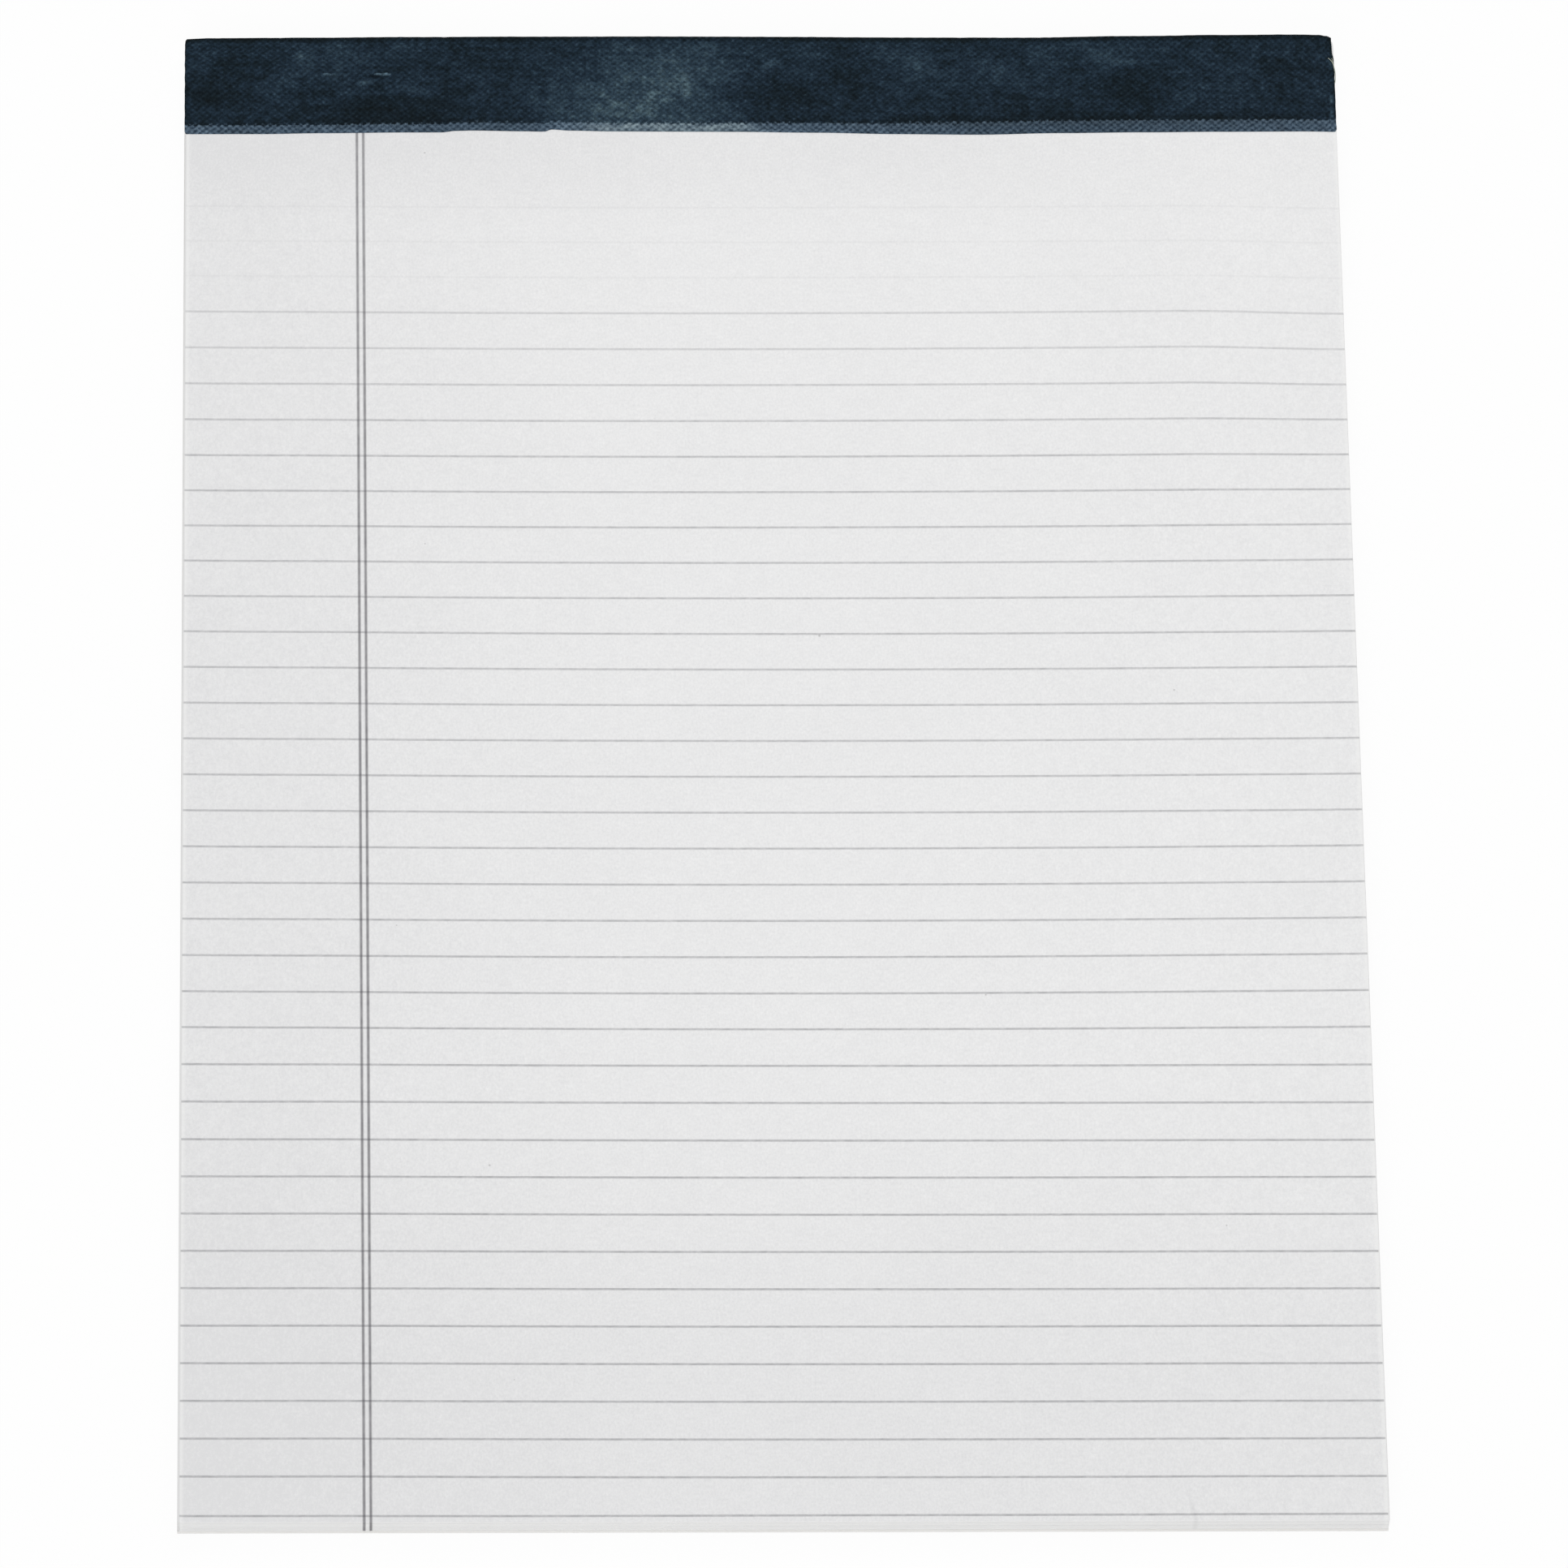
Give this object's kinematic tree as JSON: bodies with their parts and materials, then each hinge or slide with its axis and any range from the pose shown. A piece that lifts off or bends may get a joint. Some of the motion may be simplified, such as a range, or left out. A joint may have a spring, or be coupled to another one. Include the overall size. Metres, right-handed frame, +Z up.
{
  "type": "legal pad",
  "caption": "Ruled writing pad bound across the head: a stack of lined sheets on a chipboard back, stapled through and wrapped at the head edge by a folded cloth tape.",
  "frame": {"origin": "centre of the pad's outline at its underside", "axes": "+X across the width to the reader's right, +Y up the page towards the taped head, +Z up out of the writing face"},
  "size_m": [0.216, 0.2984, 0.0057],
  "materials": {
    "paper": "matte",
    "chipboard": "matte",
    "tape_cloth": "woven, slightly waxy",
    "staple_wire": "galvanised"
  },
  "bodies": {
    "root": {"ruled_sheets": "paper", "backing_board": "chipboard", "binding_tape": "tape_cloth", "staple_left": "staple_wire", "staple_middle": "staple_wire", "staple_right": "staple_wire"}
  },
  "joints": []
}
